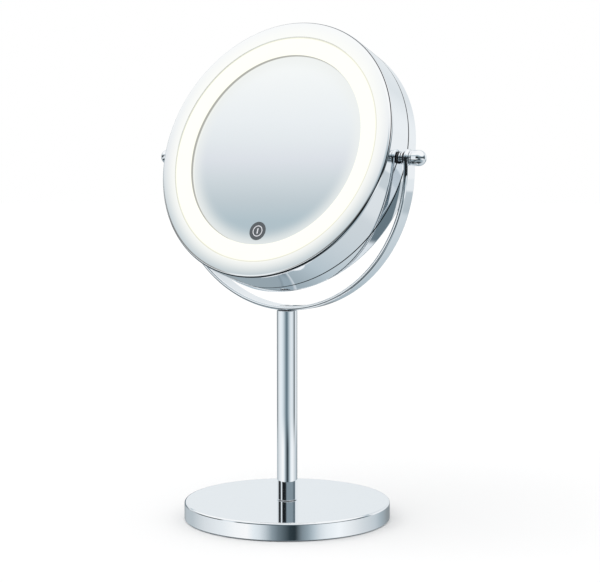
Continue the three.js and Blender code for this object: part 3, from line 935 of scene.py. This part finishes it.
def studio_color(tree):
    """The colour of the studio in each direction, as the chrome reflects it."""
    coordinates = add_node(tree, "ShaderNodeTexCoord")

    def along(axis):
        made = add_node(tree, "ShaderNodeVectorMath", operation="DOT_PRODUCT")
        tree.links.new(coordinates.outputs["Generated"], made.inputs[0])
        made.inputs[1].default_value = axis
        return made.outputs["Value"]

    towards = (math.sin(VIEW_AZIMUTH), -math.cos(VIEW_AZIMUTH), 0)
    right = (math.cos(VIEW_AZIMUTH), math.sin(VIEW_AZIMUTH), 0)
    turn = maths(tree, "ARCTAN2", along(right), along(towards))
    azimuth = maths(tree, "ADD", maths(tree, "DIVIDE", turn, TURN), 0.5)
    height = maths(tree, "DIVIDE", maths(tree, "ARCSINE", along((0, 0, 1))), math.radians(1))
    color = color_ramp(tree, azimuth, -180, 180, GROUND_RING)
    for low, high, stops in RINGS:
        ring = color_ramp(tree, azimuth, -180, 180, stops)
        color = mix_color(tree, span(tree, height, low, high), color, ring)

    double = maths(tree, "MULTIPLY", maths(tree, "ADD", turn, LEAN_TURN), 2.0)
    lean = maths(tree, "MULTIPLY", maths(tree, "SINE", double), SKY_LEAN)
    level = maths(tree, "SUBTRACT", height, lean)
    up = span(tree, level, SKY_LOW, SKY_HIGH, kind="LINEAR")
    sky = color_ramp(tree, up, SKY_LOW, SKY_HIGH, SKY_STOPS)
    return mix_color(tree, span(tree, level, SKY_LOW - 1, SKY_LOW + 1), color, sky)


def make_world():
    """Plain white to the eye and as light. Only reflections see the studio's tones."""
    world = bpy.data.worlds.new("studio")
    bpy.context.scene.world = world
    world.use_nodes = True
    tree = world.node_tree
    tree.nodes.clear()
    rays = add_node(tree, "ShaderNodeLightPath")
    plain = add_node(tree, "ShaderNodeBackground")
    plain.inputs["Color"].default_value = (*WHITE, 1)
    white = add_node(tree, "ShaderNodeMix", data_type="FLOAT")
    tree.links.new(rays.outputs["Is Camera Ray"], white.inputs[0])
    white.inputs[2].default_value = ROOM_WHITE
    white.inputs[3].default_value = PAPER_WHITE
    tree.links.new(white.outputs[0], plain.inputs["Strength"])
    studio = add_node(tree, "ShaderNodeBackground")
    tree.links.new(studio_color(tree), studio.inputs["Color"])
    mixed = add_node(tree, "ShaderNodeMixShader")
    tree.links.new(rays.outputs["Is Glossy Ray"], mixed.inputs[0])
    tree.links.new(plain.outputs[0], mixed.inputs[1])
    tree.links.new(studio.outputs[0], mixed.inputs[2])
    output = add_node(tree, "ShaderNodeOutputWorld")
    tree.links.new(mixed.outputs[0], output.inputs["Surface"])


FLOOR_R = 6.0


def make_floor():
    mesh = bpy.data.meshes.new("floor")
    work = bmesh.new()
    bmesh.ops.create_circle(work, cap_ends=True, segments=96, radius=FLOOR_R)
    work.to_mesh(mesh)
    work.free()
    floor = add_object("floor", mesh, Matrix.Identity(4))
    material, tree, shader = new_material("floor_paper")
    tone = mix_color(tree, noise(tree, 3.0), (0.93, 0.93, 0.93), (0.95, 0.95, 0.95))
    tree.links.new(tone, shader.inputs["Base Color"])
    shader.inputs["Roughness"].default_value = 0.9
    shader.inputs["Specular IOR Level"].default_value = 0.0
    floor.data.materials.append(material)
    floor.visible_glossy = False


def make_light_source():
    """One very soft light from the upper left, beside the even white of the studio."""
    side, depth = 0.45, 0.15  # how far it leans, for a fall of 1
    data = bpy.data.lights.new("soft_light", "SUN")
    data.energy = 0.5
    data.angle = math.radians(60)
    light = bpy.data.objects.new("soft_light", data)
    right = Vector((math.cos(VIEW_AZIMUTH), math.sin(VIEW_AZIMUTH), 0))
    away = right * side + Vector((0, depth, -1))
    light.rotation_euler = away.to_track_quat("-Z", "Y").to_euler()
    light.visible_glossy = False
    bpy.context.scene.collection.objects.link(light)


# ---------- CAD nodes that show as they are ----------
def green_board():
    material, tree, shader = new_material("green_board")
    coordinates = add_node(tree, "ShaderNodeTexCoord")
    tracks = add_node(tree, "ShaderNodeTexBrick")
    tree.links.new(coordinates.outputs["Object"], tracks.inputs["Vector"])
    tracks.inputs["Scale"].default_value = 260.0
    tracks.inputs["Color1"].default_value = (0.015, 0.16, 0.06, 1)
    tracks.inputs["Color2"].default_value = (0.02, 0.2, 0.08, 1)
    tracks.inputs["Mortar"].default_value = (0.05, 0.3, 0.13, 1)
    tree.links.new(tracks.outputs["Color"], shader.inputs["Base Color"])
    shader.inputs["Roughness"].default_value = 0.35
    return material


def cast_iron():
    material, tree, shader = new_material("cast_iron")
    grain = noise(tree, 500.0, 8.0)
    tone = mix_color(tree, grain, (0.03, 0.03, 0.032), (0.07, 0.068, 0.066))
    tree.links.new(tone, shader.inputs["Base Color"])
    tree.links.new(span(tree, grain, 0.3, 0.7, 0.6, 0.85), shader.inputs["Roughness"])
    add_bump(tree, shader, grain, 0.6, 0.0004)
    return material


def led_phosphor():
    material, tree, shader = new_material("led_phosphor")
    speckle = noise(tree, 2500.0)
    tone = mix_color(tree, speckle, (0.9, 0.72, 0.2), (1.0, 0.85, 0.4))
    tree.links.new(tone, shader.inputs["Base Color"])
    tree.links.new(tone, shader.inputs["Emission Color"])
    shader.inputs["Emission Strength"].default_value = 0.8
    shader.inputs["Roughness"].default_value = 0.3
    return material


def battery_jacket():
    """A printed film: dark, with a metallic band at one end."""
    material, tree, shader = new_material("battery_jacket")
    coordinates = add_node(tree, "ShaderNodeTexCoord")
    parts = add_node(tree, "ShaderNodeSeparateXYZ")
    tree.links.new(coordinates.outputs["Object"], parts.inputs[0])
    band = span(tree, parts.outputs[0], 0.008, 0.0082)
    tone = mix_color(tree, band, (0.02, 0.022, 0.028), (0.7, 0.42, 0.12))
    tree.links.new(tone, shader.inputs["Base Color"])
    shader.inputs["Metallic"].default_value = 0.5
    tree.links.new(span(tree, noise(tree, 300.0), 0.3, 0.7, 0.25, 0.35), shader.inputs["Roughness"])
    return material


SLOT_LOOKS = {
    "chrome_steel": CHROME,
    "chrome_plated_plastic": PLATED,
    "white_abs": WHITE_ABS,
    "zinc_steel": STEEL,
    "cast_iron": cast_iron(),
    "foam": FOAM,
    "nylon": NYLON,
    "led_board": plastic("white_solder_resist", (0.85, 0.85, 0.82), 0.3, 1200.0),
    "control_board": green_board(),
    "led": led_phosphor(),
    "black_resin": RESIN,
    "nickel_contact": NICKEL,
    "battery_jacket": battery_jacket(),
    "wire_jacket": WIRE,
}


def dress_frame():
    for part in frame["record"]["subparts"]:
        look = SLOT_LOOKS.get(part["material_slot"])
        if look:
            mesh = NODES[part["node"]].data
            mesh.materials.clear()
            mesh.materials.append(look)


make_camera()
make_world()
make_floor()
make_light_source()
dress_frame()
make_base()
make_post()
make_yoke()
make_yoke_screw()
make_drum()
make_light()
make_mirror()
make_pivot("right", 1)
make_pivot("left", -1)
make_rear_cover()

bpy.context.scene.view_settings.view_transform = "Standard"
